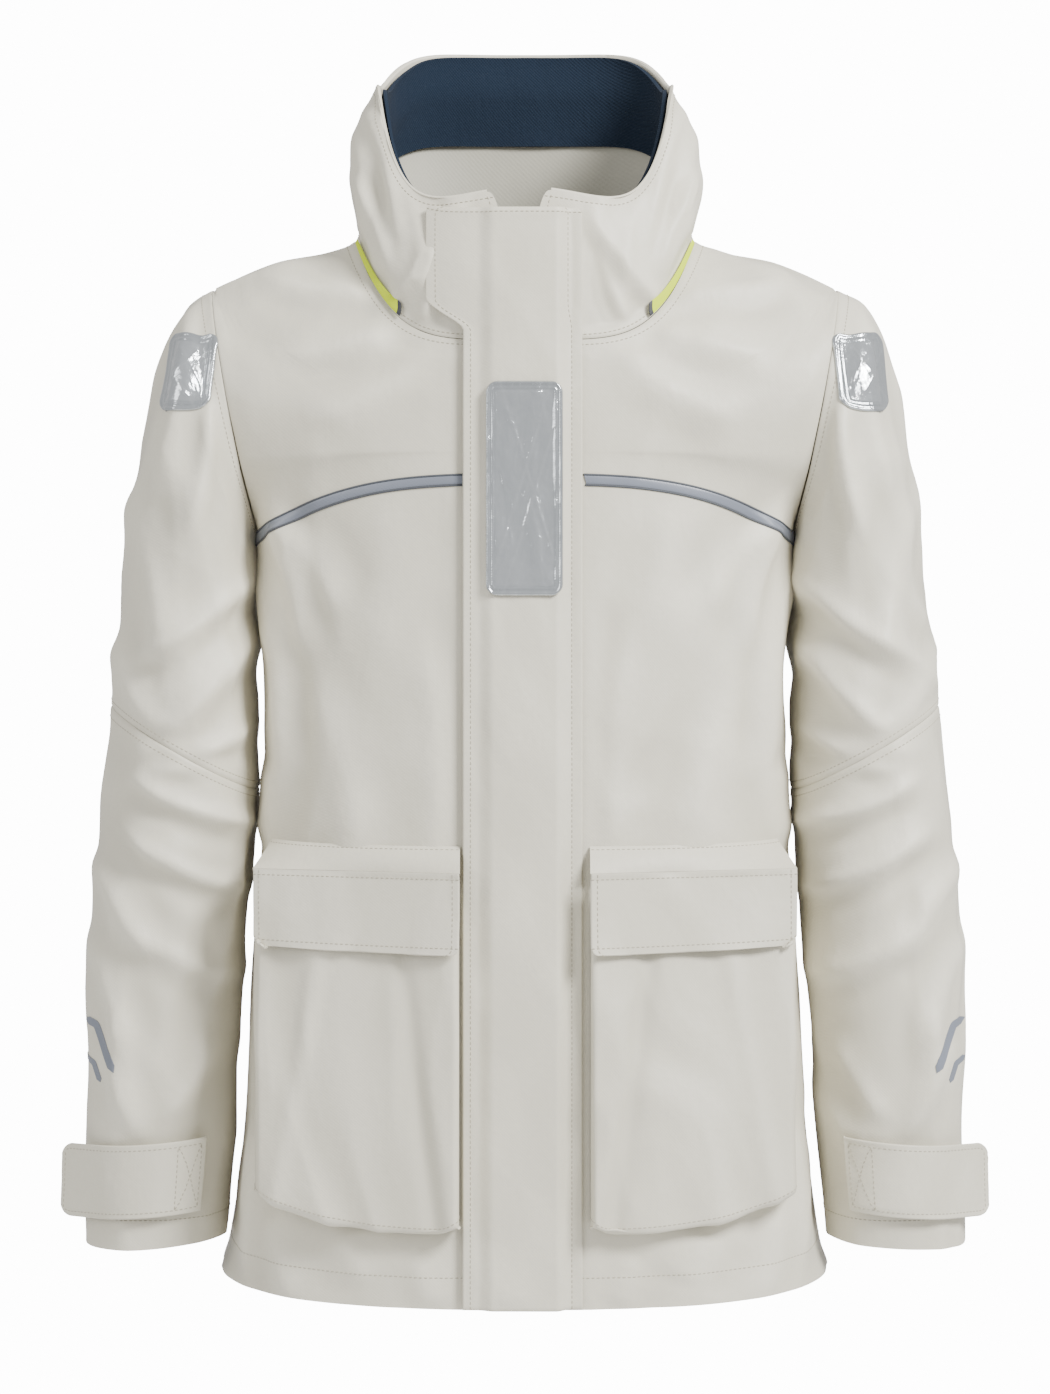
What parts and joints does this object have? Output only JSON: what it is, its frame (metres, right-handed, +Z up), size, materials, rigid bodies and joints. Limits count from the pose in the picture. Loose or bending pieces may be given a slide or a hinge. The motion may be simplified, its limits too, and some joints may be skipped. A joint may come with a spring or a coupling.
{
  "type": "foul weather jacket",
  "caption": "Sailing jacket with a stand-up lined collar, a storm flap over a front zip, flapped bellows pockets, jointed sleeves and cuff tabs.",
  "frame": {"origin": "middle of the hanger loop inside the back of the neck", "axes": "+Z up, the wearer faces -Y, the wearer's left is +X"},
  "size_m": [0.717, 0.3041, 0.9491],
  "materials": {
    "shell_cloth": "coated woven shell cloth, soft satin",
    "lining_cloth": "plain lining cloth",
    "navy_fleece": "brushed fleece",
    "flash_yellow": "fluorescent cloth",
    "silver_film": "glossy silver reflective film",
    "reflective_trim": "grey reflective trim",
    "hook_and_loop": "hook and loop tape",
    "zip_plastic": "moulded zip teeth",
    "zip_metal": "cast zip slider",
    "cuff_elastic": "stretch cloth"
  },
  "bodies": {
    "shell": {"front_panel_left": "shell_cloth", "front_panel_right": "shell_cloth", "yoke_left": "shell_cloth", "yoke_right": "shell_cloth", "back_panel": "shell_cloth", "back_yoke": "shell_cloth", "chest_piping_left": "reflective_trim", "chest_piping_right": "reflective_trim", "lining_left": "lining_cloth", "lining_right": "lining_cloth", "lining_back": "lining_cloth", "hem_facing": "shell_cloth", "collar_shell": "shell_cloth", "collar_lining": "navy_fleece", "collar_facing": "lining_cloth", "collar_flash_left": "flash_yellow", "collar_flash_right": "flash_yellow", "hood_roll": "flash_yellow", "hanger_loop": "shell_cloth", "zip_tape_left": "shell_cloth", "zip_tape_right": "shell_cloth", "zip_teeth_left": "zip_plastic", "zip_teeth_right": "zip_plastic", "zip_box": "zip_plastic", "zip_underflap": "shell_cloth", "storm_flap_hooks": "hook_and_loop", "pocket_bag_left": "shell_cloth", "pocket_bag_right": "shell_cloth", "pocket_header_left": "shell_cloth", "pocket_header_right": "shell_cloth", "pocket_hooks_left": "hook_and_loop", "pocket_hooks_right": "hook_and_loop"},
    "storm_flap": {"storm_flap": "shell_cloth", "flap_patch": "silver_film", "storm_flap_loops": "hook_and_loop"},
    "zip_slider": {"zip_slider": "zip_metal"},
    "zip_pull": {"zip_pull": "zip_metal"},
    "pocket_flap_left": {"pocket_flap_left": "shell_cloth", "pocket_loops_left": "hook_and_loop"},
    "pocket_flap_right": {"pocket_flap_right": "shell_cloth", "pocket_loops_right": "hook_and_loop"},
    "upper_sleeve_left": {"upper_sleeve_left": "shell_cloth", "shoulder_patch_left": "silver_film"},
    "upper_sleeve_right": {"upper_sleeve_right": "shell_cloth", "shoulder_patch_right": "silver_film"},
    "forearm_left": {"lower_sleeve_left": "shell_cloth", "inner_cuff_left": "cuff_elastic", "cuff_hooks_left": "hook_and_loop"},
    "forearm_right": {"lower_sleeve_right": "shell_cloth", "inner_cuff_right": "cuff_elastic", "cuff_hooks_right": "hook_and_loop"},
    "cuff_tab_left": {"cuff_tab_left": "shell_cloth", "cuff_loops_left": "hook_and_loop"},
    "cuff_tab_right": {"cuff_tab_right": "shell_cloth", "cuff_loops_right": "hook_and_loop"}
  },
  "joints": [
    {"name": "storm_flap_swing", "type": "hinge", "parent": "shell", "child": "storm_flap", "pos_m": [0.0435, -0.23333, -0.81879], "axis": [0, -0.0612, -0.9981], "range_deg": [-80, 0]},
    {"name": "zip_slide", "type": "slide", "parent": "shell", "child": "zip_slider", "axis": [0, -0.0612, -0.9981], "range_m": [0, 0.72]},
    {"name": "zip_pull_swing", "type": "hinge", "parent": "zip_slider", "child": "zip_pull", "pos_m": [0, -0.18206, -0.038], "axis": [0, -0.9981, 0.0612], "range_deg": [-35, 35]},
    {"name": "pocket_flap_left_lift", "type": "hinge", "parent": "shell", "child": "pocket_flap_left", "pos_m": [0.1255, -0.21337, -0.497], "axis": [-0.9678, -0.2516, 0], "range_deg": [0, 110]},
    {"name": "shoulder_left_raise", "type": "hinge", "parent": "shell", "child": "upper_sleeve_left", "pos_m": [0.24077, -0.08, -0.05979], "axis": [0, -1, 0], "range_deg": [0, 60]},
    {"name": "elbow_left_bend", "type": "hinge", "parent": "upper_sleeve_left", "child": "forearm_left", "pos_m": [0.26355, -0.16568, -0.448], "axis": [-1, 0, 0], "range_deg": [0, 75]},
    {"name": "cuff_tab_left_peel", "type": "hinge", "parent": "forearm_left", "child": "cuff_tab_left", "pos_m": [0.24278, -0.14784, -0.7345], "axis": [0, 0, -1], "range_deg": [0, 90]},
    {"name": "pocket_flap_right_lift", "type": "hinge", "parent": "shell", "child": "pocket_flap_right", "pos_m": [-0.1255, -0.21337, -0.497], "axis": [-0.9678, 0.2516, 0], "range_deg": [0, 110]},
    {"name": "shoulder_right_raise", "type": "hinge", "parent": "shell", "child": "upper_sleeve_right", "pos_m": [-0.24077, -0.08, -0.05979], "axis": [0, 1, 0], "range_deg": [0, 60]},
    {"name": "elbow_right_bend", "type": "hinge", "parent": "upper_sleeve_right", "child": "forearm_right", "pos_m": [-0.26355, -0.16568, -0.448], "axis": [-1, 0, 0], "range_deg": [0, 75]},
    {"name": "cuff_tab_right_peel", "type": "hinge", "parent": "forearm_right", "child": "cuff_tab_right", "pos_m": [-0.24278, -0.14784, -0.7345], "axis": [0, 0, 1], "range_deg": [0, 90]}
  ]
}
